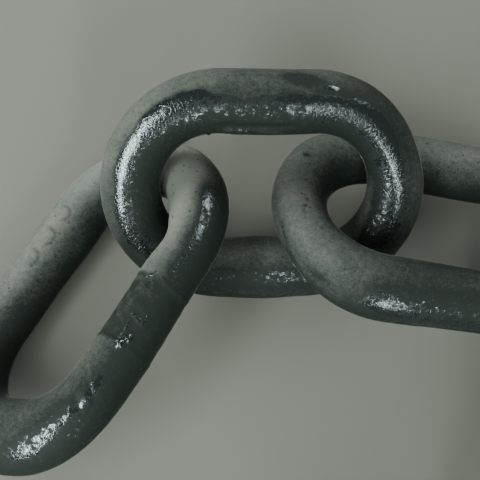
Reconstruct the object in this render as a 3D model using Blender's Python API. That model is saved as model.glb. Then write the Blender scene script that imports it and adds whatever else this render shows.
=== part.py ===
"""A length of heavy iron chain lying bunched on a level floor.

Six plain links, each a bar bent into a long loop and welded shut, threaded one through the next.
Each link leans the other way from its neighbours, as a slack chain lies: its low bar is on the
floor, and its high bar crosses over the low bars of the links that it holds.
Units are metres and +Z is up. The longest run is along X, and the origin is on the floor under
the middle of the chain.
"""

import math

import bpy
import numpy as np
from mathutils import Euler, Vector

# Driving dimensions of the links
BAR_DIAMETER = 0.040
LINK_WIDTH = 0.160
COMMON_LENGTH = 0.250
SHORT_LENGTH = 0.220

# Air between two links that touch
TOUCH_GAP = 0.0003

# How finely the bar is cut into flats: along a half turn, and round its section
CROWN_STEPS = 12
BEVEL_RESOLUTION = 8
SECTION_SIDES = 4 + 2 * BEVEL_RESOLUTION

# A link starts with its end this many bars inside the end of the one that holds it, further in
# where it isn't clear there, and is pulled out in steps until the two bars meet, to within the
# exact distance
HOOK_BARS = 3
PULL_STEP = BAR_DIAMETER / 20
PULL_EXACT = BAR_DIAMETER / 40000

# Kept under a division where two straight pieces run side by side, so that it is never by zero
NEVER_ZERO = 1e-18

# The worn dark iron of the links
IRON_COLOUR = (0.045, 0.049, 0.050, 1.0)
IRON_ROUGHNESS = 0.5
IRON_METALLIC = 0.7

COLLECTION_NAME = "iron_chain"

# How each link lies. heading is the way its length points on the floor, and nose_up is how far
# that end is lifted, both in degrees. crossed_at is where a floor bar of its neighbour passes
# under it, as a share of its width measured along the floor from its own low bar, and gives how
# far it leans. high_side is +1 where the bar on the left of the heading is the high one, and -1
# where the bar on the right is. held_by is the link that it is threaded through, and bearing is
# the way that it is pulled from that link, in degrees.
LINKS = {
    "second_link": dict(length=SHORT_LENGTH, heading=3.0, nose_up=-7.0, high_side=1,
                        crossed_at=0.335, held_by=None),
    "first_link": dict(length=COMMON_LENGTH, heading=60.0, nose_up=0.0, high_side=-1,
                       crossed_at=0.53, held_by="second_link", bearing=211.3),
    "third_link": dict(length=COMMON_LENGTH, heading=-7.5, nose_up=-7.0, high_side=-1,
                       crossed_at=0.84, held_by="second_link", bearing=-10.4),
    "fourth_link": dict(length=COMMON_LENGTH, heading=-66.0, nose_up=0.0, high_side=1,
                        crossed_at=0.35, held_by="third_link", bearing=-42.0),
    "fifth_link": dict(length=COMMON_LENGTH, heading=-116.0, nose_up=0.0, high_side=-1,
                       crossed_at=0.55, held_by="fourth_link", bearing=-94.0),
    "sixth_link": dict(length=COMMON_LENGTH, heading=-160.0, nose_up=0.0, high_side=1,
                       crossed_at=0.36, held_by="fifth_link", bearing=-138.0),
}


def clear_scene():
    """Remove what the file already holds."""
    for obj in list(bpy.data.objects):
        bpy.data.objects.remove(obj, do_unlink=True)


def link_outline(length):
    """Points along the middle of a link's bar, flat in XY: two half turns and two straights."""
    crown_radius = (LINK_WIDTH - BAR_DIAMETER) / 2
    half_straight = (length - LINK_WIDTH) / 2
    points = []
    for end in (1, -1):
        for step in range(CROWN_STEPS + 1):
            angle = math.pi * (step / CROWN_STEPS - 0.5)
            x = half_straight + crown_radius * math.cos(angle)
            y = crown_radius * math.sin(angle)
            points.append(Vector((end * x, end * y, 0.0)))
    return points


def lean_angle(link):
    """How far a link leans so that its high half clears the bar that crosses under it."""
    along_floor = (LINK_WIDTH - BAR_DIAMETER) * link["crossed_at"]
    return link["high_side"] * math.atan2(BAR_DIAMETER + TOUCH_GAP, along_floor)


def link_rotation(link):
    """The link's turn from lying flat along X to the way it lies."""
    nose_up = math.radians(link["nose_up"])
    heading = math.radians(link["heading"])
    return Euler((lean_angle(link), -nose_up, heading), "XYZ")


def make_iron():
    """Dark worn iron."""
    material = bpy.data.materials.new("dark_iron")
    material.use_nodes = True
    shader = material.node_tree.nodes["Principled BSDF"]
    shader.inputs["Base Color"].default_value = IRON_COLOUR
    shader.inputs["Roughness"].default_value = IRON_ROUGHNESS
    shader.inputs["Metallic"].default_value = IRON_METALLIC
    return material


def make_link(name, link, iron, collection):
    """One closed loop of round bar, with a flat of its section turned down to the floor."""
    outline = link_outline(link["length"])
    curve = bpy.data.curves.new(name, "CURVE")
    curve.dimensions = "3D"
    curve.twist_mode = "Z_UP"
    curve.bevel_depth = BAR_DIAMETER / 2
    curve.bevel_resolution = BEVEL_RESOLUTION
    spline = curve.splines.new("POLY")
    spline.points.add(len(outline) - 1)
    half_flat = math.pi / SECTION_SIDES
    for point, place in zip(spline.points, outline):
        point.co = (*place, 1.0)
        point.tilt = lean_angle(link) + half_flat
    spline.use_cyclic_u = True
    spline.use_smooth = True
    curve.materials.append(iron)
    obj = bpy.data.objects.new(name, curve)
    obj.rotation_euler = link_rotation(link)
    collection.objects.link(obj)
    return obj


def corners(obj):
    """Every corner of an object's surface, in world space."""
    bpy.context.view_layer.update()
    evaluated = obj.evaluated_get(bpy.context.evaluated_depsgraph_get())
    mesh = evaluated.to_mesh()
    places = np.array([evaluated.matrix_world @ vertex.co for vertex in mesh.vertices])
    evaluated.to_mesh_clear()
    return places


def closest_distance(first, second):
    """The shortest distance between two closed outlines of straight segments."""
    start_a = np.array(first)[:, None, :]
    start_b = np.array(second)[None, :, :]
    along_a = np.roll(start_a, -1, axis=0) - start_a
    along_b = np.roll(start_b, -1, axis=1) - start_b
    between = start_a - start_b
    aa = (along_a * along_a).sum(-1)
    bb = (along_b * along_b).sum(-1)
    ab = (along_a * along_b).sum(-1)
    a_between = (along_a * between).sum(-1)
    b_between = (along_b * between).sum(-1)
    spread = np.maximum(aa * bb - ab * ab, NEVER_ZERO)
    share_a = np.clip((ab * b_between - bb * a_between) / spread, 0, 1)
    share_b = np.clip((ab * share_a + b_between) / bb, 0, 1)
    share_a = np.clip((ab * share_b - a_between) / aa, 0, 1)
    gaps = between + share_a[..., None] * along_a - share_b[..., None] * along_b
    return float(np.sqrt((gaps * gaps).sum(-1)).min())


def outline_on_floor(link, plan):
    """A link's outline, turned as it lies, over its plan place and with its bar on the floor."""
    turn = link_rotation(link).to_matrix()
    turned = [turn @ point for point in link_outline(link["length"])]
    height = BAR_DIAMETER / 2 - min(point.z for point in turned)
    return [point + Vector((plan.x, plan.y, height)) for point in turned]


def pulled_from(link, holder, holder_plan):
    """A link's place on the floor when it is pulled against the one that holds it."""
    holder_outline = outline_on_floor(holder, holder_plan)
    bearing = math.radians(link["bearing"])
    direction = Vector((math.cos(bearing), math.sin(bearing)))

    def is_clear(reach):
        outline = outline_on_floor(link, holder_plan + reach * direction)
        return closest_distance(outline, holder_outline) > BAR_DIAMETER + TOUCH_GAP

    clear = (link["length"] + holder["length"]) / 2 - HOOK_BARS * BAR_DIAMETER
    while not is_clear(clear):
        clear -= PULL_STEP
    while is_clear(clear + PULL_STEP):
        clear += PULL_STEP
    blocked = clear + PULL_STEP
    while blocked - clear > PULL_EXACT:
        middle = (clear + blocked) / 2
        if is_clear(middle):
            clear = middle
        else:
            blocked = middle
    return holder_plan + clear * direction


def lay_chain():
    """Each link's place on the floor, starting from the link that holds the rest."""
    plans = {}
    for name, link in LINKS.items():
        held_by = link["held_by"]
        if held_by is None:
            plans[name] = Vector((0.0, 0.0))
        else:
            plans[name] = pulled_from(link, LINKS[held_by], plans[held_by])
    return plans


def build_chain():
    """Make the links, lay them on the floor and put the middle of the chain over the origin."""
    clear_scene()
    collection = bpy.data.collections.new(COLLECTION_NAME)
    bpy.context.scene.collection.children.link(collection)
    iron = make_iron()
    objects = []
    for name, plan in lay_chain().items():
        obj = make_link(name, LINKS[name], iron, collection)
        obj.location = (plan.x, plan.y, -corners(obj)[:, 2].min())
        objects.append(obj)
    everything = np.concatenate([corners(obj) for obj in objects])
    middle = (everything.min(axis=0) + everything.max(axis=0)) / 2
    for obj in objects:
        obj.location.x -= middle[0]
        obj.location.y -= middle[1]


build_chain()
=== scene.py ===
"""A length of heavy iron chain lying bunched on a level floor, finished as the worn thing looks.

Each link is rebuilt as a fine mesh of the bar: bent, stout or thin in places, welded shut on one
side, and pebbled all over by forge scale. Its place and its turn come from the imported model.
Units are metres and +Z is up. Sizes named _mm or _MM are in millimetres, and angles in the named
values and tables are in degrees.
"""

import math

import bmesh
import bpy
import numpy as np
from bpy.props import FloatProperty, FloatVectorProperty, PointerProperty, StringProperty
from mathutils import Matrix, Vector, noise


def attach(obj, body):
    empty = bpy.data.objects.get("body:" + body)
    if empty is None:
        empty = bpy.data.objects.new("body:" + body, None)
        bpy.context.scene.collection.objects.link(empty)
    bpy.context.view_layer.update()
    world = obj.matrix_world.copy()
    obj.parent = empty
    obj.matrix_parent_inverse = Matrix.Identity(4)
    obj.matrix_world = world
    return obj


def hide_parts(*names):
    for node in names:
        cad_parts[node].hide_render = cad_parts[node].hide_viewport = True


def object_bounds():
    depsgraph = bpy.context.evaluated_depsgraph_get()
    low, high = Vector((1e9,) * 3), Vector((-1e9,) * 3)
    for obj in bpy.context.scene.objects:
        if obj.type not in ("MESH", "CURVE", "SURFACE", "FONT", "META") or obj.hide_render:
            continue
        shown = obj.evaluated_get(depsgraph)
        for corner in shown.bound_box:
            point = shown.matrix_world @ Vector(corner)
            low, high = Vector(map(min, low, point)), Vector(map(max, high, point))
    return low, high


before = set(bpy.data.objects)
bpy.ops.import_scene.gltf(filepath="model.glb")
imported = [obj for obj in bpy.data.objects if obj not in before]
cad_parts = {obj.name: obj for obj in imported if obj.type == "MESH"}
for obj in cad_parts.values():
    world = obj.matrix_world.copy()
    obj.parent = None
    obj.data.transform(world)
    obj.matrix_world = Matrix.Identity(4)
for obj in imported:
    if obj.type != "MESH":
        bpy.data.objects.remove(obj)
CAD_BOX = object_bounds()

bl_info = {
    "name": "Iron Chain Finish",
    "version": (1, 0, 0),
    "blender": (4, 5, 0),
    "location": "3D View > Sidebar > Iron Chain",
    "description": "Finishes the links of a packed iron chain and lights them on a pale floor",
    "category": "Object",
}

MM = 0.001
LINK_NODES = ("first_link", "second_link", "third_link", "fourth_link", "fifth_link", "sixth_link")
# Each face of the first, coarse bar is cut this many times both ways
GRID_CUTS = 2

# Where the patterns of the skin are read: this far apart for each link, and as much further on for
# the waves and for the roughness of the weld, so that none follows another
SEED_STEP = 17.0
WAVE_SEED = 5
ROUGH_SEED = 9

# The skin of forge scale: pebbles on lumps, on the slow waves of a hammered bar. The level and the
# shares are of the skin's relief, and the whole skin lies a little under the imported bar.
PEBBLE_MM = 2.9
LUMP_MM = 8.0
WAVE_MM = 30.0
SKIN_LEVEL = 0.5
PEBBLE_SHARE = 1.3
LUMP_SHARE = 0.7
WAVE_HEIGHT_MM = 0.25
SKIN_SINK_MM = 0.15

# The weld: a band clamped dark and a little sunk, between two lips pushed up across the bar. The
# waves sway its edges and the lumps make them ragged.
WELD_HALF_BAND_MM = 23.0
WELD_EDGE_MM = 2.0
WELD_SWAY_MM = 2.5
WELD_RAGGED_MM = 1.2
WELD_SINK_MM = 0.35
WELD_ROUGH_MM = 0.3
WELD_ROUGH_SIZE_MM = 5.0
WELD_LIP_HEIGHT_MM = 0.55
WELD_LIP_WIDTH_MM = 1.7
# How much of a lip stands, and how far that comes and goes round the bar
LIP_STANDS = 0.7
LIP_WAVERS = 0.9
# How much of the dust the band loses, how far that comes and goes, and how much a lip loses
BAND_BARE = 0.8
BAND_BARE_WAVERS = 0.4
LIP_BARE = 0.3

# How far the waves move the edge of the dust, as a cosine, and how far they change the shine
DUST_WAVERS = 0.12
SHINE_WAVERS = 0.25

# The wet bands: how far the waves sway their edges round the bar and the lumps make them ragged,
# and between which angles from its first edge a band comes, and from its last edge it goes
WET_SWAY = 9.0
WET_RAGGED = 5.0
WET_COMES = (-5.0, 3.0)
WET_GOES = (-14.0, 10.0)
# How much of its shine a band loses from its first edge to its last, how much of the dust it takes
# off where it is wet, and how many times the wetness counts towards that
WET_FADES = 0.75
WET_CLEANS = 0.95
WET_SOAKS = 1.4

# A line fades out between these shares of its half length. An arc is a ring that is open on one
# side, and comes in between these shares of its radius across it.
LINE_FADES = (0.7, 1.1)
ARC_OPENS = (-0.3, 0.4)

# How each link looks. The dust lies on the faces that look to dust_and_light_side, which leans from
# straight up towards the back-left: on the upper faces it is real dust, and on the faces turned to
# the back-left it is also painted light. none and full are the cosines to that side where it starts
# and where it is full, and dust is how thick it gets there, from 0 for bare scale to 1 for a coat
# that hides the iron. shine is how wet the bare scale looks, from 0 to 1. weld_side is the side of
# the link with the weld, -1 or 1 along its width, and weld_mark is how much of it shows.
LINK_LOOKS = {
    "first_link": dict(
        dust_and_light_side=(-0.66, 0.42, 0.62), none=0.05, full=1.2, dust=0.92,
        shine=0.0, weld_side=-1, weld_mark=1.0,
    ),
    "second_link": dict(
        dust_and_light_side=(-0.46, 0.56, 0.68), none=-0.15, full=1.0, dust=0.70,
        shine=0.1, weld_side=1, weld_mark=0.15,
    ),
    "third_link": dict(
        dust_and_light_side=(-0.50, 0.45, 0.74), none=-0.2, full=1.0, dust=0.60,
        shine=0.1, weld_side=-1, weld_mark=0.3,
    ),
    "fourth_link": dict(
        dust_and_light_side=(-0.45, 0.45, 0.77), none=0.0, full=1.0, dust=0.62,
        shine=0.2, weld_side=1, weld_mark=0.4,
    ),
    "fifth_link": dict(
        dust_and_light_side=(-0.45, 0.45, 0.77), none=0.0, full=1.1, dust=0.72,
        shine=0.2, weld_side=-1, weld_mark=0.35,
    ),
    "sixth_link": dict(
        dust_and_light_side=(-0.45, 0.45, 0.77), none=0.0, full=1.0, dust=0.64,
        shine=0.1, weld_side=1, weld_mark=0.6,
    ),
}

# Where the bare skin is wet: for places along the bar in millimetres, the angle round it where the
# wet skin starts and the angle where it turns dull again, and how wet it is there, from 0 to 1.
WET_BANDS = {
    "first_link": (
        (402, 50, 54, 0.0),
        (408, 34, 60, 0.7),
        (420, 24, 66, 0.62),
        (430, 30, 64, 0.6),
        (440, 40, 60, 0.62),
        (450, 42, 54, 0.6),
        (458, 46, 50, 0.0),
    ),
    "second_link": (
        (20, 76, 120, 0.0),
        (60, 78, 150, 0.8),
        (92, 78, 157, 0.9),
        (110, 84, 160, 1.0),
        (125, 79, 155, 1.0),
        (145, 66, 138, 1.0),
        (166, 60, 124, 1.0),
        (190, 70, 122, 1.0),
        (207, 72, 122, 0.8),
        (220, 76, 121, 0.45),
        (239, 74, 121, 0.45),
        (254, 63, 121, 0.6),
        (270, 52, 120, 0.85),
        (291, 50, 107, 1.0),
        (305, 54, 100, 1.0),
        (318, 57, 97, 1.0),
        (340, 60, 97, 1.0),
        (375, 62, 108, 1.0),
        (398, 68, 114, 0.9),
        (425, 76, 120, 0.0),
    ),
    "third_link": (
        (425, 10, 40, 0.2),
        (452, 4, 42, 0.2),
        (460, 0, 44, 0.85),
        (468, -8, 52, 0.85),
        (482, -16, 56, 0.55),
        (496, -20, 56, 0.6),
        (520, -20, 56, 0.6),
        (557, -20, 50, 0.4),
    ),
    "fourth_link": (
        (40, 70, 110, 0.0),
        (80, 56, 118, 0.9),
        (135, 58, 124, 1.0),
        (190, 72, 116, 0.6),
        (235, 84, 110, 0.0),
        (350, 70, 110, 0.0),
        (395, 50, 116, 0.9),
        (440, 44, 100, 0.9),
        (480, 50, 90, 0.3),
        (520, 60, 80, 0.0),
    ),
    "fifth_link": (
        (30, 50, 90, 0.0),
        (70, 44, 104, 0.9),
        (120, 52, 120, 0.9),
        (160, 70, 110, 0.0),
        (300, 60, 100, 0.0),
        (345, 50, 112, 0.8),
        (410, 44, 110, 1.0),
        (455, 50, 90, 0.5),
        (500, 60, 80, 0.0),
    ),
    "sixth_link": (
        (10, 60, 100, 0.5),
        (60, 50, 116, 1.0),
        (110, 52, 110, 0.7),
        (150, 60, 90, 0.0),
        (380, 56, 90, 0.0),
        (420, 40, 96, 0.9),
        (470, 40, 90, 0.9),
        (530, 52, 90, 0.6),
    ),
}


def mark(shape, along, angle, length, breadth, height, turn=0.0, bare=0.0, gleam=0.0):
    """A mark of forging or handling: a lump, a swell of the bar, a line, or an arc of a ring.

    along is its place in millimetres from the -Y end of the +X crown, and angle its place round the
    bar, from the outside of the link over its upper face. length and breadth are its half length
    and half breadth in millimetres, and an arc's radius and half thickness. height is in
    millimetres too, and below 0 for a dent. turn swings it on the surface. bare is how much of the
    dust it loses, and gleam how wet it is.
    """
    return dict(
        shape=shape, along=along, angle=angle, length=length, breadth=breadth,
        height=height, turn=turn, bare=bare, gleam=gleam,
    )


def patch(kind, along, angle, length, breadth, amount):
    """A patch with more dust or shine than the rest of the link, or less with an amount below 0.

    Its place, half length and half breadth are given as a mark's are.
    """
    return dict(
        kind=kind, shape="lump", along=along, angle=angle, length=length, breadth=breadth,
        turn=0.0, amount=amount,
    )


# The patches on each link
PATCHES = {
    "first_link": (
        # Thick dust on the crown that is threaded through the next link
        patch("dust", 75.0, 110, 62.0, 30.0, 0.8),
        patch("dust", 62.0, 52, 22.0, 11.0, 0.5),
        patch("dust", 150.0, 90, 40.0, 30.0, 0.2),
        patch("dust", 215.0, 135, 40.0, 16.0, 0.42),
        # Wiped on the near bar beside the next link, and at the free end
        patch("dust", 14.0, 45, 36.0, 12.0, -0.5),
        patch("dust", 400.0, 90, 60.0, 26.0, -0.5),
        patch("dust", 446.0, 55, 16.0, 10.0, -0.35),
        patch("dust", 480.0, 100, 34.0, 30.0, -0.22),
        patch("shine", 8.0, 39, 30.0, 5.5, 0.5),
        patch("shine", 36.0, 47, 9.0, 7.0, 0.3),
        patch("dust", 37.0, 46, 11.0, 7.0, -0.5),
        patch("shine", 463.0, 48, 12.0, 3.0, 0.6),
    ),
    "second_link": (
        # Two broken wet lines along the low bar
        patch("shine", 474.0, 96, 24.0, 5.0, 0.2),
        patch("dust", 468.0, 88, 34.0, 9.0, -0.22),
        patch("shine", 468.0, 60, 34.0, 3.5, 0.55),
        # A thin film on the outside of the right crown
        patch("dust", 95.0, 45, 50.0, 15.0, 0.42),
        patch("dust", 345.0, 22, 60.0, 14.0, 0.26),
        patch("dust", 222.0, 60, 34.0, 24.0, -0.08),
        patch("dust", 160.0, 40, 32.0, 22.0, -0.28),
        patch("dust", 467.0, 90, 60.0, 24.0, -0.1),
    ),
    "third_link": (
        # Dusty where the crown meets the near bar, wiped beyond it
        patch("dust", 380.0, 60, 34.0, 24.0, 0.18),
        patch("dust", 495.0, 80, 45.0, 24.0, -0.4),
        patch("dust", 424.0, 30, 24.0, 16.0, 0.12),
        patch("dust", 240.0, 100, 50.0, 22.0, 0.2),
    ),
    "fourth_link": (
        patch("dust", 250.0, 90, 50.0, 24.0, 0.16),
        patch("dust", 20.0, 60, 40.0, 22.0, -0.25),
    ),
    "fifth_link": (
        patch("dust", 330.0, 90, 60.0, 24.0, 0.25),
        patch("dust", 510.0, 70, 50.0, 22.0, -0.25),
    ),
    "sixth_link": (
        patch("dust", 100.0, 90, 50.0, 26.0, 0.2),
        patch("dust", 430.0, 60, 50.0, 22.0, -0.3),
    ),
}

# The marks on each link. A swell is a long lump that only makes the bar stouter or thinner.
MARKS = {
    "first_link": (
        # The bar is drawn thin beside the weld, and stout at the free end
        mark("swell", 497.0, 150, 70.0, 30.0, -2.0),
        mark("swell", 376.0, 180, 42.0, 28.0, 3.4),
        mark("swell", 402.0, 180, 26.0, 24.0, 3.0),
        mark("swell", 458.0, -8, 26.0, 22.0, -2.4),
        mark("swell", 7.0, 180, 15.0, 26.0, -4.0),
        mark("swell", 192.0, 180, 28.0, 24.0, 2.6),
        mark("swell", 548.0, 0, 34.0, 24.0, -3.0),
        mark("swell", 412.0, -20, 38.0, 15.0, 2.2),
        # Two bright beads at the lower lip of the weld, and the burrs that run up from them
        mark("lump", 490.0, 53, 2.6, 2.4, 2.2, bare=1.5, gleam=2.0),
        mark("lump", 495.0, 45, 2.4, 2.4, 2.0, bare=1.5, gleam=2.0),
        mark("line", 499.0, 58, 6.5, 0.9, 0.9, turn=8, bare=0.7, gleam=0.8),
        mark("line", 508.0, 53, 5.0, 1.0, 0.8, turn=75, bare=0.7, gleam=0.9),
        mark("line", 509.0, 38, 4.0, 0.9, 0.8, turn=20, bare=0.7, gleam=0.9),
        mark("arc", 531.0, 70, 4.5, 1.1, 0.7, bare=0.8, gleam=0.8),
        mark("lump", 531.0, 72, 2.0, 1.6, -0.9, bare=0.8, gleam=1.0),
        mark("line", 490.0, 75, 9.0, 1.0, 0.7, turn=88, bare=0.6, gleam=0.3),
        # Wrinkles where the bar was bent
        mark("line", 463.0, 66, 13.0, 1.2, -0.5, turn=62, bare=0.3),
        mark("line", 456.0, 52, 8.0, 1.0, 0.5, turn=78, bare=0.6),
        mark("line", 451.0, 50, 7.0, 1.0, -0.6, turn=70, bare=0.5),
        mark("line", 446.0, 54, 6.0, 1.2, 0.5, turn=60, bare=0.7),
        mark("lump", 452.0, 38, 3.0, 2.0, 0.6, bare=0.6),
        # Dents knocked in the side that lies away from the viewer
        mark("arc", 191.0, 112, 6.0, 1.3, -0.6, turn=30, bare=0.4),
        mark("arc", 211.0, 112, 6.5, 1.3, -0.6, turn=30, bare=0.4),
        mark("arc", 229.0, 110, 6.0, 1.4, -0.6, turn=30, bare=0.4),
        # The seam left by the dies along the outside of the crown
        mark("line", 402.0, -8, 34.0, 0.8, 0.5, turn=-3, bare=0.4),
    ),
    "second_link": (
        # The high bar is stout on its inner side
        mark("swell", 222.0, 150, 48.0, 22.0, 3.2),
        # and thin at the shoulder of the right crown
        mark("swell", 122.0, 25, 30.0, 24.0, -3.4),
        # The low bar is stout between the two links that lie over it
        mark("swell", 466.0, 180, 24.0, 26.0, 2.6),
        mark("swell", 466.0, 0, 26.0, 26.0, 2.4),
        # A dark smooth chip in the back of the high bar, and the bright bruise beside it
        mark("lump", 198.5, 34, 11.0, 5.0, -1.2, turn=-14, bare=2.2),
        mark("lump", 183.0, 52, 4.5, 1.6, 0.7, bare=1.2, gleam=1.6),
        # Weld burrs left under the high bar
        mark("lump", 262.0, 150, 2.2, 2.0, 1.4, bare=1.0, gleam=1.0),
        mark("line", 240.0, 138, 9.0, 1.5, 1.3, turn=4, bare=0.8, gleam=0.3),
        mark("line", 218.0, 140, 9.0, 1.6, 1.3, turn=-5, bare=0.8, gleam=0.3),
        mark("line", 228.0, 126, 26.0, 2.0, -1.0, turn=1, bare=0.8),
        mark("lump", 228.0, 128, 5.0, 2.5, -0.5, bare=0.8),
        mark("line", 247.0, 120, 9.0, 1.2, -0.5, turn=10, bare=0.4),
    ),
    "third_link": (
        # The bar is stout where it leaves the crown
        mark("swell", 462.0, -8, 44.0, 20.0, 3.6),
        mark("swell", 330.0, 0, 20.0, 24.0, 3.0),
        mark("swell", 403.0, 0, 32.0, 26.0, -4.6),
        mark("swell", 218.0, 170, 44.0, 26.0, 2.8),
        # Pits in the crown
        mark("lump", 346.3, 75, 1.5, 2.6, -0.9, bare=0.9),
        mark("lump", 392.8, 88, 1.3, 1.3, -0.8, bare=0.9),
        mark("lump", 388.0, 96, 1.6, 1.2, -0.7, bare=0.8),
        mark("lump", 397.0, 82, 2.4, 1.4, -0.5, bare=0.6),
        # The two edges of the seam left by the dies round the outside of the crown
        mark("line", 413.0, 0, 24.0, 0.8, 0.55, turn=-24, bare=0.5),
        mark("line", 416.0, -8, 22.0, 0.7, 0.45, turn=-24, bare=0.5),
        mark("lump", 431.0, 14, 7.0, 3.0, -0.4, bare=0.7),
    ),
    "fourth_link": (
        mark("arc", 60.0, 80, 6.0, 1.3, -0.6, turn=40, bare=0.4),
        mark("lump", 330.0, 70, 6.0, 3.0, -0.7, turn=15, bare=0.8),
        mark("line", 470.0, 20, 26.0, 0.8, 0.5, turn=-2, bare=0.4),
    ),
    "fifth_link": (
        mark("lump", 110.0, 85, 1.6, 2.4, -0.8, bare=0.9),
        mark("arc", 400.0, 95, 6.5, 1.3, -0.6, turn=10, bare=0.4),
        mark("line", 250.0, 45, 9.0, 1.2, -0.5, turn=60, bare=0.4),
    ),
    "sixth_link": (
        mark("lump", 80.0, 60, 8.0, 3.6, -0.8, turn=-20, bare=0.9),
        mark("lump", 300.0, 100, 1.6, 1.8, -0.8, bare=0.8),
        mark("line", 420.0, 5, 30.0, 0.8, 0.5, turn=3, bare=0.4),
    ),
}

# The room: a large floor a hair below the links, so that the two never share a plane, and a dim
# light from all round
FLOOR_SIZE = 8.0
FLOOR_DROP = 0.0002
ROOM_COLOUR = (0.92, 1.0, 0.96, 1.0)
ROOM_STRENGTH = 0.13

# The lights all look at one place. Azimuth is 0 from the front and below 0 from the left. Distance,
# width and height are in metres, power is in watts, and roll leans a window over. What is turned
# off in diffuse shows only as a streak on the wet skin, and in glossy only on dust and dull iron.
LIGHT_TARGET = (-0.03, 0.12, 0.05)
GREEN_WHITE = (0.97, 1.0, 0.97)
PALE_GREEN_WHITE = (0.97, 1.0, 0.98)
CYAN_WHITE = (0.97, 1.0, 1.0)
LIGHTS = {
    "front_window": dict(
        azimuth=-12, elevation=55, distance=1.5, width=0.7, height=0.7,
        power=4.0, colour=GREEN_WHITE, glossy=False,
    ),
    "tall_left_window": dict(
        azimuth=-46, elevation=38, distance=1.5, width=0.34, height=1.35, roll=33,
        power=10.0, colour=PALE_GREEN_WHITE, glossy=False,
    ),
    "low_back_left": dict(
        azimuth=-125, elevation=22, distance=1.0, width=0.9, height=0.3,
        power=4.7, colour=GREEN_WHITE,
    ),
    "low_back_right": dict(
        azimuth=145, elevation=22, distance=1.0, width=0.6, height=0.3,
        power=2.1, colour=GREEN_WHITE,
    ),
    "left_strip": dict(
        azimuth=-47, elevation=38, distance=1.5, width=0.30, height=1.3, roll=33,
        power=44.0, colour=CYAN_WHITE, diffuse=False,
    ),
    "narrow_right_window": dict(
        azimuth=13, elevation=30, distance=1.6, width=0.08, height=1.1, roll=-32,
        power=10.0, colour=CYAN_WHITE,
    ),
    "short_front_window": dict(
        azimuth=2, elevation=22, distance=1.5, width=0.05, height=0.2, roll=-32,
        power=1.8, colour=CYAN_WHITE, diffuse=False,
    ),
    "back_right_window": dict(
        azimuth=136, elevation=42, distance=1.5, width=0.25, height=1.3, roll=55,
        power=11.0, colour=CYAN_WHITE, diffuse=False,
    ),
}

# The camera, as worked out from the links' outlines in the photograph. Its place is in metres, and
# its lens and sensor are in millimetres.
CAMERA_PLACE = (-0.0448, -0.0416, 0.5776)
CAMERA_AZIMUTH = 7.4
CAMERA_ELEVATION = 69.0
CAMERA_ROLL = -6.8
CAMERA_LENS = 62.4
CAMERA_SENSOR = 36.0
CAMERA_NEAREST = 0.01


def linear(hex_colour):
    """An sRGB hex value as linear red, green and blue."""
    channels = [int(hex_colour[place:place + 2], 16) / 255 for place in (1, 3, 5)]
    return [c / 12.92 if c <= 0.04045 else ((c + 0.055) / 1.055) ** 2.4 for c in channels]


class ChainSizes(bpy.types.PropertyGroup):
    """Sizes of the bar and of its surface."""

    bar_diameter: FloatProperty(
        name="Bar Diameter",
        description="Thickness of the round bar that the links are bent from",
        default=0.040,
        min=0.005,
        unit="LENGTH",
    )
    link_width: FloatProperty(
        name="Link Width",
        description="Width of a link over the outside of its bars",
        default=0.160,
        min=0.02,
        unit="LENGTH",
    )
    grid_size: FloatProperty(
        name="Grid Size",
        description="Length of the side of one face of a finished link",
        default=0.00115,
        min=0.0005,
        unit="LENGTH",
    )
    skin_relief: FloatProperty(
        name="Skin Relief",
        description="Height of the pebbles of scale on the bar",
        default=0.00010,
        min=0.0,
        unit="LENGTH",
    )


class ChainColours(bpy.types.PropertyGroup):
    """Colours of the iron, of the dust on it and of the floor."""

    dull_scale: FloatVectorProperty(
        name="Dull Scale",
        description="Dry forge scale with a breath of dust on it",
        subtype="COLOR",
        default=linear("#27312C"),
        min=0.0,
        max=1.0,
    )
    wet_scale: FloatVectorProperty(
        name="Wet Scale",
        description="Forge scale under old oil, as a metal's colour",
        subtype="COLOR",
        default=linear("#4E5656"),
        min=0.0,
        max=1.0,
    )
    # The dust colour, which also paints the light on the faces turned to the back-left
    dust: FloatVectorProperty(
        name="Dust",
        description="Pale stone dust lying on the upper faces",
        subtype="COLOR",
        default=linear("#9EA89E"),
        min=0.0,
        max=1.0,
    )
    warm_dust: FloatVectorProperty(
        name="Warm Dust",
        description="Dust stained by rust",
        subtype="COLOR",
        default=linear("#A39F94"),
        min=0.0,
        max=1.0,
    )
    floor: FloatVectorProperty(
        name="Floor",
        description="The plain floor that the chain lies on",
        subtype="COLOR",
        default=linear("#94978C"),
        min=0.0,
        max=1.0,
    )


def sizes():
    """The sizes as they are set in the scene."""
    return bpy.context.scene.chain_sizes


def colours():
    """The colours as they are set in the scene."""
    return bpy.context.scene.chain_colours


def opaque(colour):
    """A colour as a shader's socket takes it, with nothing showing through."""
    return (*colour, 1.0)


def pattern_scale(across_mm):
    """The scale of a pattern with patches of this size, to the nearest ten to the metre."""
    return round(1 / (across_mm * MM), -1)


def add_node(tree, kind, settings=None, links=None):
    """A new node with its settings, and with its sockets joined to the outputs given."""
    node = tree.nodes.new(kind)
    for name, value in (settings or {}).items():
        if isinstance(name, int) or name in node.inputs:
            node.inputs[name].default_value = value
        else:
            setattr(node, name, value)
    for name, output in (links or {}).items():
        tree.links.new(output, node.inputs[name])
    return node


def new_material(name):
    """A material with only a Principled shader in it, and that shader."""
    material = bpy.data.materials.new(name)
    material.use_nodes = True
    return material, material.node_tree.nodes["Principled BSDF"]


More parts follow.
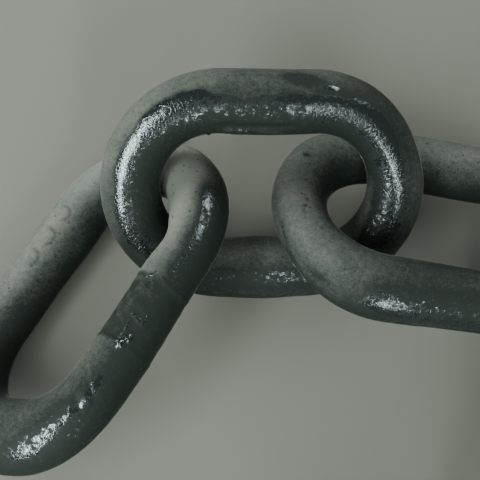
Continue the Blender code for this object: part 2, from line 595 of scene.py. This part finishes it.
def dusty_scaled_iron():
    """Hot-forged iron in its black scale, with old oil on it and stone dust on its upper faces.

    The scale is a dull near-black, the oil gives it a broken wet gleam along the bar, and the dust
    lies over both as a pale grey-green bloom with ragged edges. On the faces turned to the
    back-left that pale bloom is painted light as well as dust.
    """
    material, shader = new_material("dusty_scaled_iron")
    tree = material.node_tree
    shade = colours()
    place = add_node(tree, "ShaderNodeTexCoord").outputs["Object"]
    # The dust attribute is real dust, and on the faces turned to the back-left it is painted light
    # too
    dust = add_node(tree, "ShaderNodeAttribute", {"attribute_name": "dust"}).outputs["Fac"]
    shine = add_node(tree, "ShaderNodeAttribute", {"attribute_name": "shine"}).outputs["Fac"]

    # Blotches about 17 mm across, where the dust is rubbed thinner or is stained
    blotches = add_node(
        tree,
        "ShaderNodeTexNoise",
        {"Scale": pattern_scale(16.7), "Detail": 4.0, "Roughness": 0.6},
        {"Vector": place},
    ).outputs["Fac"]
    # Mottling about 3 mm across
    mottle = add_node(
        tree,
        "ShaderNodeTexNoise",
        {"Scale": pattern_scale(3.125), "Detail": 3.0, "Roughness": 0.65},
        {"Vector": place},
    ).outputs["Fac"]
    # Crinkles in the wet skin. Real ones are finer, and are drawn about 1.5 mm across to show.
    crinkle = add_node(
        tree,
        "ShaderNodeTexNoise",
        {"Scale": pattern_scale(1.47), "Detail": 2.5, "Distortion": 1.4},
        {"Vector": place},
    ).outputs["Fac"]
    # Cracks between flakes of scale about 2.4 mm across
    flakes = add_node(
        tree,
        "ShaderNodeTexVoronoi",
        {"Scale": pattern_scale(2.38), "feature": "DISTANCE_TO_EDGE"},
        {"Vector": place},
    ).outputs["Distance"]
    creases = add_node(
        tree,
        "ShaderNodeMapRange",
        {"interpolation_type": "SMOOTHSTEP", "From Max": 0.13},
        {"Value": flakes},
    ).outputs["Result"]
    # Grit in the dust. Real grit is far finer, and is drawn about 1 mm across to show.
    grit = add_node(
        tree, "ShaderNodeTexNoise", {"Scale": pattern_scale(1.0), "Detail": 2.0}, {"Vector": place}
    ).outputs["Fac"]
    # Pinholes about 1.5 mm across in the dust, one to every 7 mm or so
    pinholes = add_node(
        tree, "ShaderNodeTexVoronoi", {"Scale": pattern_scale(6.67)}, {"Vector": place}
    ).outputs["Distance"]

    # How much dust there is, with its edge broken by the blotches, the mottling and the grit. Each
    # lies evenly about a half, so half of what they add is taken off again.
    breaks = ((blotches, 0.5), (mottle, 0.55), (grit, 0.55))
    level = dust
    for pattern, share in breaks:
        level = add_node(
            tree,
            "ShaderNodeMath",
            {"operation": "MULTIPLY_ADD", 1: share},
            {0: pattern, 2: level},
        ).outputs[0]
    evened = sum(share for pattern, share in breaks) / 2
    level = add_node(
        tree, "ShaderNodeMath", {"operation": "SUBTRACT", 1: evened}, {0: level}
    ).outputs[0]
    # The level at which dust starts to show
    first_dust = 0.08
    cover = add_node(
        tree,
        "ShaderNodeMapRange",
        {"interpolation_type": "SMOOTHSTEP", "From Min": first_dust, "From Max": 0.26},
        {"Value": level},
    ).outputs["Result"]
    # The skin is wet in patches, where it shows through the dust
    wet_level = add_node(
        tree, "ShaderNodeMath", {"operation": "MULTIPLY_ADD", 1: 2.2}, {0: mottle, 2: shine}
    ).outputs[0]
    wet_level = add_node(
        tree, "ShaderNodeMath", {"operation": "SUBTRACT"}, {0: wet_level, 1: cover}
    ).outputs[0]
    wet = add_node(
        tree,
        "ShaderNodeMapRange",
        {"interpolation_type": "SMOOTHSTEP", "From Min": 1.38, "From Max": 1.66},
        {"Value": wet_level},
    ).outputs["Result"]

    # The colour: dull or wet scale under dust that is stained in its blotches
    iron_tone = add_node(
        tree,
        "ShaderNodeMix",
        {"data_type": "RGBA", 6: opaque(shade.dull_scale), 7: opaque(shade.wet_scale)},
        {0: wet},
    ).outputs[2]
    stained = add_node(
        tree,
        "ShaderNodeMapRange",
        {"From Min": 0.48, "From Max": 0.68, "To Max": 0.6},
        {"Value": blotches},
    ).outputs["Result"]
    # The pale dust colour, laid thickest on the faces turned to the back-left, also paints light
    # there
    dust_and_light_tone = add_node(
        tree,
        "ShaderNodeMix",
        {"data_type": "RGBA", 6: opaque(shade.dust), 7: opaque(shade.warm_dust)},
        {0: stained},
    ).outputs[2]
    # Thin dust hides little of the iron and thick dust all of it, but for the pinholes
    hidden = add_node(
        tree,
        "ShaderNodeMapRange",
        {"From Min": first_dust, "From Max": 1.3, "To Max": 1.0},
        {"Value": level},
    ).outputs["Result"]
    hidden = add_node(
        tree, "ShaderNodeMath", {"operation": "POWER", 1: 1.35}, {0: hidden}
    ).outputs[0]
    holed = add_node(
        tree,
        "ShaderNodeMapRange",
        {"From Min": 0.08, "From Max": 0.16, "To Min": 0.35},
        {"Value": pinholes},
    ).outputs["Result"]
    hidden = add_node(
        tree, "ShaderNodeMath", {"operation": "MULTIPLY"}, {0: hidden, 1: holed}
    ).outputs[0]
    colour = add_node(
        tree, "ShaderNodeMix", {"data_type": "RGBA"}, {0: hidden, 6: iron_tone, 7: dust_and_light_tone}
    ).outputs[2]

    # Wet skin is smooth, and smoother in some places than in others. The rest is rough.
    wet_gloss = add_node(
        tree,
        "ShaderNodeMapRange",
        {"From Min": 0.3, "From Max": 0.7, "To Min": 0.07, "To Max": 0.20},
        {"Value": mottle},
    ).outputs["Result"]
    roughness = add_node(
        tree, "ShaderNodeMix", {"data_type": "FLOAT", 2: 0.66}, {0: wet, 3: wet_gloss}
    ).outputs[0]
    metal = add_node(
        tree, "ShaderNodeMapRange", {"To Min": 0.0, "To Max": 0.75}, {"Value": wet}
    ).outputs["Result"]

    # The finest relief: crinkles, grit and the creases between flakes, sharper where it is wet
    height = add_node(
        tree, "ShaderNodeMath", {"operation": "MULTIPLY_ADD", 1: 0.25}, {0: grit, 2: crinkle}
    ).outputs[0]
    height = add_node(
        tree, "ShaderNodeMath", {"operation": "MULTIPLY_ADD", 1: 0.4}, {0: creases, 2: height}
    ).outputs[0]
    sharp = add_node(
        tree, "ShaderNodeMapRange", {"To Min": 0.6, "To Max": 1.0}, {"Value": wet}
    ).outputs["Result"]
    bump = add_node(
        tree, "ShaderNodeBump", {"Distance": 0.1 * MM}, {"Height": height, "Strength": sharp}
    ).outputs["Normal"]

    # Dry scale and dust hardly shine, and the dust lights up where it is seen along the surface
    shader.inputs["Specular IOR Level"].default_value = 0.2
    shader.inputs["Sheen Weight"].default_value = 0.8
    shader.inputs["Sheen Roughness"].default_value = 0.14
    tree.links.new(colour, shader.inputs["Base Color"])
    tree.links.new(roughness, shader.inputs["Roughness"])
    tree.links.new(metal, shader.inputs["Metallic"])
    tree.links.new(bump, shader.inputs["Normal"])
    return material


def pale_floor():
    """A plain matt floor, pale and even, on which only the links' shadows show."""
    material, shader = new_material("pale_floor")
    shader.inputs["Base Color"].default_value = opaque(colours().floor)
    shader.inputs["Roughness"].default_value = 0.9
    return material


def link_in_frame(node):
    """Where a packed link lies: its turn and place as a matrix, and half its straight length.

    The turned link has its length along X, its width along Y and its upper face to +Z.
    """
    # A packed link is loose triangles, so each corner is counted only once
    points = np.array([vertex.co for vertex in node.data.vertices], float)
    points = np.unique(points.round(7), axis=0)
    middle = points.mean(axis=0)
    # The points spread least through the link, which is the first axis, and most along it
    axes = np.linalg.eigh(np.cov((points - middle).T))[1]
    upward = Vector(axes[:, 0])
    along = Vector(axes[:, 2])
    if upward.z < 0:
        upward.negate()
    if along.x < 0:
        along.negate()
    across = upward.cross(along)
    turn = Matrix((along, across, upward)).transposed()
    local = (points - middle) @ np.array(turn)
    reach = (local.max(axis=0) - local.min(axis=0)) / 2
    return Matrix.Translation(middle) @ turn.to_4x4(), float(reach[0] - reach[1])


def crown_radius():
    """The radius of a crown, to the middle of the bar."""
    return (sizes().link_width - sizes().bar_diameter) / 2


def bent_bar(half_straight):
    """The bare bar of a link: a ring of points swung round two crowns and drawn along two sides."""
    size = sizes()
    bar_radius = size.bar_diameter / 2
    coarse_grid = size.grid_size * (GRID_CUTS + 1)
    around = round(math.tau * bar_radius / coarse_grid)
    crown_steps = round(math.pi * crown_radius() / coarse_grid)
    side_steps = max(1, round(2 * half_straight / coarse_grid))
    bar = bmesh.new()
    start = Matrix.Translation((half_straight, -crown_radius(), 0))
    bmesh.ops.create_circle(
        bar,
        cap_ends=False,
        segments=around,
        radius=bar_radius,
        matrix=start @ Matrix.Rotation(math.pi / 2, 4, "Y"),
    )
    ring = bar.verts[:] + bar.edges[:]
    for end in (1, -1):
        swung = bmesh.ops.spin(
            bar,
            geom=ring,
            cent=(end * half_straight, 0, 0),
            axis=(0, 0, 1),
            dvec=(0, 0, 0),
            angle=math.pi,
            steps=crown_steps,
            use_merge=False,
            use_duplicate=False,
        )
        drawn = bmesh.ops.spin(
            bar,
            geom=swung["geom_last"],
            cent=(0, 0, 0),
            axis=(0, 0, 1),
            dvec=(-end * 2 * half_straight / side_steps, 0, 0),
            angle=0,
            steps=side_steps,
            use_merge=False,
            use_duplicate=False,
        )
        ring = drawn["geom_last"]
    # The last ring lies on the first
    bmesh.ops.remove_doubles(bar, verts=bar.verts, dist=size.grid_size / 10)
    bmesh.ops.recalc_face_normals(bar, faces=bar.faces)
    bmesh.ops.subdivide_edges(bar, edges=bar.edges, cuts=GRID_CUTS, use_grid_fill=True)
    return bar


def along_and_round(points, half_straight):
    """For points on a link's bar: the middle of the bar there, the way out, and where they are.

    Gives the bar's middle, the unit vector out from it, the distance along the bar in
    millimetres, and the angle round it: 0 outwards, 90 on the upper face, 180 inwards. The
    distance starts where the -Y side meets the +X crown.
    """
    x, y, z = points.T
    on_crown = np.abs(x) > half_straight
    end = np.sign(x)
    turn = np.where(
        on_crown,
        np.arctan2(y * end, np.abs(x) - half_straight),
        np.sign(y) * end * math.pi / 2,
    )
    outward = np.stack(
        [
            np.where(on_crown, end * np.cos(turn), 0.0),
            np.where(on_crown, end * np.sin(turn), np.sign(y)),
            0 * x,
        ],
        axis=1,
    )
    centre = np.stack([np.where(on_crown, end * half_straight, x), 0 * y, 0 * z], axis=1)
    middle = centre + crown_radius() * outward
    out = points - middle
    out /= np.linalg.norm(out, axis=1)[:, None]
    across = (out * outward).sum(axis=1)
    angle = np.degrees(np.arctan2(out[:, 2], across))
    crown_length = math.pi * crown_radius()
    side_length = 2 * half_straight
    swept = (turn + math.pi / 2) * crown_radius()
    along = np.where(
        on_crown,
        np.where(end > 0, swept, crown_length + side_length + swept),
        np.where(
            y > 0,
            crown_length + half_straight - x,
            2 * crown_length + side_length + half_straight + x,
        ),
    )
    return middle, out, along / MM, angle


def smooth_step(low, high, values):
    """0 up to low, 1 from high on, and a smooth rise between them."""
    share = np.clip((values - low) / (high - low), 0, 1)
    return share * share * (3 - 2 * share)


def hump(distance, breadth):
    """1 where the distance is 0, falling smoothly to about a third at the half breadth."""
    return np.exp(-((distance / breadth) ** 2))


def noise_at(points, size_mm, seed):
    """Smooth noise from -1 to 1 at each point, with lumps of about the size given."""
    scaled = points / (size_mm * MM)
    return np.array([noise.noise((x + seed, y - seed, z + 2 * seed)) for x, y, z in scaled])


def cells_at(points, size_mm, seed):
    """Distance to the nearest seed of a cell, in cells, at each point."""
    scaled = points / (size_mm * MM)
    return np.array(
        [noise.voronoi((x + seed, y - seed, z + 2 * seed))[0][0] for x, y, z in scaled]
    )


def spot_cover(spot, along, angle, length_round):
    """How much of each point a mark or a patch covers, from 0 to 1."""
    ahead = (along - spot["along"] + length_round / 2) % length_round - length_round / 2
    around = (angle - spot["angle"] + 180) % 360 - 180
    beside = around * math.pi / 180 * sizes().bar_diameter / 2 / MM
    turn = math.radians(spot["turn"])
    lengthwise = ahead * math.cos(turn) + beside * math.sin(turn)
    crosswise = beside * math.cos(turn) - ahead * math.sin(turn)
    length = spot["length"]
    if spot["shape"] == "line":
        faded = smooth_step(LINE_FADES[0] * length, LINE_FADES[1] * length, np.abs(lengthwise))
        return hump(crosswise, spot["breadth"]) * (1 - faded)
    if spot["shape"] == "arc":
        closed = smooth_step(ARC_OPENS[0] * length, ARC_OPENS[1] * length, crosswise)
        return hump(np.hypot(lengthwise, crosswise) - length, spot["breadth"]) * closed
    return np.exp(-((lengthwise / length) ** 2) - (crosswise / spot["breadth"]) ** 2)


def weld_cover(weld_side, along, half_straight, waves, lumps):
    """How much of each point the dark band of the weld covers, and how much its lips do."""
    crown_length = math.pi * crown_radius() / MM
    side_length = 2 * half_straight / MM
    if weld_side > 0:
        weld_at = crown_length + side_length / 2
    else:
        weld_at = 2 * crown_length + 1.5 * side_length
    from_weld = np.abs(along - weld_at + WELD_SWAY_MM * waves + WELD_RAGGED_MM * lumps)
    inner = WELD_HALF_BAND_MM - WELD_EDGE_MM
    outer = WELD_HALF_BAND_MM + WELD_EDGE_MM
    band = 1 - smooth_step(inner, outer, from_weld)
    standing = np.clip(LIP_STANDS + LIP_WAVERS * lumps, 0, 1)
    return band, hump(from_weld - WELD_HALF_BAND_MM, WELD_LIP_WIDTH_MM) * standing


def wet_cover(bands, along, angle, waves, lumps):
    """How much of each point a link's wet bands cover, how wet they are there, and how shiny."""
    knots, starts, ends, wetness = np.array(bands, float).T
    start, end, wet = (np.interp(along, knots, row) for row in (starts, ends, wetness))
    ragged = angle + WET_RAGGED * lumps + WET_SWAY * waves
    come = smooth_step(start + WET_COMES[0], start + WET_COMES[1], ragged)
    gone = smooth_step(end + WET_GOES[0], end + WET_GOES[1], ragged)
    inside = come * (1 - gone)
    return inside, wet, wet * inside * (1 - WET_FADES * smooth_step(start, end, ragged))


def finish_link(node_name, mesh, place, half_straight, seed):
    """Give a bare bar the relief of forged and welded iron, and mark where it is dusty or wet.

    The dust leans to the faces turned to the back-left, where it is painted light as well.
    """
    size = sizes()
    looks = LINK_LOOKS[node_name]
    weld_mark = looks["weld_mark"]
    points = np.empty(len(mesh.vertices) * 3)
    mesh.vertices.foreach_get("co", points)
    points = points.reshape(-1, 3)
    middle, out, along, angle = along_and_round(points, half_straight)
    length_round = 2 * (math.pi * crown_radius() / MM + 2 * half_straight / MM)

    # The skin of scale. relief is what sinks into the surface, and is cut off where it would stand
    # out. raised is how much stouter or thinner the bar is.
    pebbles = cells_at(points, PEBBLE_MM, seed)
    lumps = noise_at(points, LUMP_MM, seed)
    waves = noise_at(points, WAVE_MM, seed + WAVE_SEED)
    rough = noise_at(points, WELD_ROUGH_SIZE_MM, seed + ROUGH_SEED)
    skin = SKIN_LEVEL - PEBBLE_SHARE * pebbles + LUMP_SHARE * lumps
    relief = size.skin_relief * skin + WAVE_HEIGHT_MM * MM * waves - SKIN_SINK_MM * MM

    band, lip = weld_cover(looks["weld_side"], along, half_straight, waves, lumps)
    relief -= weld_mark * MM * (WELD_SINK_MM + WELD_ROUGH_MM * rough) * band
    raised = weld_mark * MM * WELD_LIP_HEIGHT_MM * lip
    worn = (BAND_BARE + BAND_BARE_WAVERS * rough) * band + LIP_BARE * lip
    bare = weld_mark * np.clip(worn, 0, 1)
    gleam = np.zeros(len(points))
    for spot in MARKS[node_name]:
        cover = spot_cover(spot, along, angle, length_round)
        if spot["shape"] == "swell" or spot["height"] > 0:
            raised += spot["height"] * MM * cover
        else:
            relief += spot["height"] * MM * cover
        bare = np.maximum(bare, np.minimum(spot["bare"] * cover, 1))
        gleam = np.maximum(gleam, spot["gleam"] * cover)

    radius = size.bar_diameter / 2
    local = middle + out * (radius + raised + np.minimum(relief, 0))[:, None]
    turn = np.array(place.to_3x3())
    world = local @ turn.T + np.array(place.translation)
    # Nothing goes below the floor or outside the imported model
    world = np.clip(world, CAD_BOX[0], CAD_BOX[1])
    mesh.vertices.foreach_set("co", world.ravel())

    # Dust on the faces that look up and to the back-left, where it is also painted light, and shine
    # where the skin is wet and wiped
    dust_and_light_side = np.array(Vector(looks["dust_and_light_side"]).normalized())
    facing = out @ turn.T @ dust_and_light_side
    dust = looks["dust"] * smooth_step(looks["none"], looks["full"], facing + DUST_WAVERS * waves)
    inside, wet, streak = wet_cover(WET_BANDS[node_name], along, angle, waves, lumps)
    dust *= 1 - WET_CLEANS * np.minimum(wet * WET_SOAKS, 1) * inside
    shine = np.maximum(looks["shine"] + SHINE_WAVERS * waves, streak)
    for spot in PATCHES[node_name]:
        more = spot["amount"] * spot_cover(spot, along, angle, length_round)
        if spot["kind"] == "dust":
            dust += more
        else:
            shine += more
    dust *= 1 - bare
    shine = np.clip(np.clip(shine, 0, 1) * (1 - weld_mark * band) + gleam, 0, 1)
    for name, values in (("dust", dust), ("shine", shine)):
        layer = mesh.attributes.new(name, "FLOAT", "POINT")
        layer.data.foreach_set("value", values.astype(np.float32))
    mesh.update()


class CHAIN_OT_make_link(bpy.types.Operator):
    """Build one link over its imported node"""

    bl_idname = "chain.make_link"
    bl_label = "Make Link"

    node: StringProperty(
        name="Node",
        description="Name of the packed link that this one stands for",
        default="first_link",
    )

    def execute(self, context):
        place, half_straight = link_in_frame(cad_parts[self.node])
        bar = bent_bar(half_straight)
        mesh = bpy.data.meshes.new(self.node + "_forged")
        bar.to_mesh(mesh)
        bar.free()
        seed = SEED_STEP * LINK_NODES.index(self.node)
        finish_link(self.node, mesh, place, half_straight, seed)
        mesh.polygons.foreach_set("use_smooth", [True] * len(mesh.polygons))
        iron = bpy.data.materials.get("dusty_scaled_iron") or dusty_scaled_iron()
        mesh.materials.append(iron)
        link = bpy.data.objects.new(self.node + "_forged", mesh)
        context.collection.objects.link(link)
        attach(link, "root")
        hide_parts(self.node)
        return {"FINISHED"}


def direction(azimuth, elevation):
    """The way from the middle of the scene to a place at this azimuth and elevation."""
    turn = math.radians(azimuth)
    rise = math.radians(elevation)
    return Vector(
        (math.sin(turn) * math.cos(rise), -math.cos(turn) * math.cos(rise), math.sin(rise))
    )


def add_soft_light(
    name, azimuth, elevation, distance, width, height, power, colour,
    roll=0.0, diffuse=True, glossy=True,
):
    """A soft box that hangs at an azimuth and an elevation and looks at the target."""
    light = bpy.data.lights.new(name, "AREA")
    light.shape = "RECTANGLE"
    light.size = width
    light.size_y = height
    light.energy = power
    light.color = colour
    obj = bpy.data.objects.new(name, light)
    target = Vector(LIGHT_TARGET)
    obj.location = target + distance * direction(azimuth, elevation)
    obj.rotation_euler = (target - obj.location).to_track_quat("-Z", "Y").to_euler()
    obj.rotation_euler.rotate_axis("Z", math.radians(roll))
    obj.visible_diffuse = diffuse
    obj.visible_glossy = glossy
    bpy.context.collection.objects.link(obj)


def set_camera(context):
    """Place the camera at the photograph's viewing angle."""
    turn = math.radians(CAMERA_AZIMUTH)
    backward = direction(CAMERA_AZIMUTH, CAMERA_ELEVATION)
    level = Vector((math.cos(turn), math.sin(turn), 0))
    upright = Matrix((level, backward.cross(level), backward)).transposed()
    rolled = upright @ Matrix.Rotation(math.radians(CAMERA_ROLL), 3, "Z")
    camera = bpy.data.cameras.new("photo_camera")
    camera.sensor_width = CAMERA_SENSOR
    camera.lens = CAMERA_LENS
    camera.clip_start = CAMERA_NEAREST
    obj = bpy.data.objects.new("photo_camera", camera)
    obj.matrix_world = Matrix.Translation(CAMERA_PLACE) @ rolled.to_4x4()
    context.collection.objects.link(obj)
    context.scene.camera = obj


class CHAIN_OT_set_stage(bpy.types.Operator):
    """Lay the floor, hang the lights and place the camera"""

    bl_idname = "chain.set_stage"
    bl_label = "Set Stage"

    def execute(self, context):
        bpy.ops.mesh.primitive_plane_add(size=FLOOR_SIZE, location=(0, 0, -FLOOR_DROP))
        floor = context.object
        floor.name = "floor"
        floor.data.materials.append(pale_floor())

        for name, light in LIGHTS.items():
            add_soft_light(name, **light)

        world = bpy.data.worlds.new("soft_room")
        world.use_nodes = True
        background = world.node_tree.nodes["Background"]
        background.inputs["Color"].default_value = ROOM_COLOUR
        background.inputs["Strength"].default_value = ROOM_STRENGTH
        context.scene.world = world

        set_camera(context)
        return {"FINISHED"}


class CHAIN_PT_panel(bpy.types.Panel):
    """Lists the sizes and colours, the pieces of the chain and its stage"""

    bl_idname = "CHAIN_PT_panel"
    bl_label = "Iron Chain"
    bl_space_type = "VIEW_3D"
    bl_region_type = "UI"
    bl_category = "Iron Chain"

    def draw(self, context):
        layout = self.layout
        for group in (context.scene.chain_sizes, context.scene.chain_colours):
            column = layout.column()
            for name in group.__annotations__:
                column.prop(group, name)
        for name in LINK_NODES:
            layout.operator("chain.make_link", text=name.replace("_", " ").title()).node = name
        layout.operator("chain.set_stage")


CLASSES = (ChainSizes, ChainColours, CHAIN_OT_make_link, CHAIN_OT_set_stage, CHAIN_PT_panel)


def register():
    """Register the classes, and keep the sizes and colours in the scene."""
    for each in CLASSES:
        bpy.utils.register_class(each)
    bpy.types.Scene.chain_sizes = PointerProperty(type=ChainSizes)
    bpy.types.Scene.chain_colours = PointerProperty(type=ChainColours)


def unregister():
    """Take out again what register put in."""
    del bpy.types.Scene.chain_colours
    del bpy.types.Scene.chain_sizes
    for each in reversed(CLASSES):
        bpy.utils.unregister_class(each)


def main():
    """Build the links and the stage."""
    register()
    for name in LINK_NODES:
        bpy.ops.chain.make_link(node=name)
    bpy.ops.chain.set_stage()


if __name__ == "__main__":
    main()
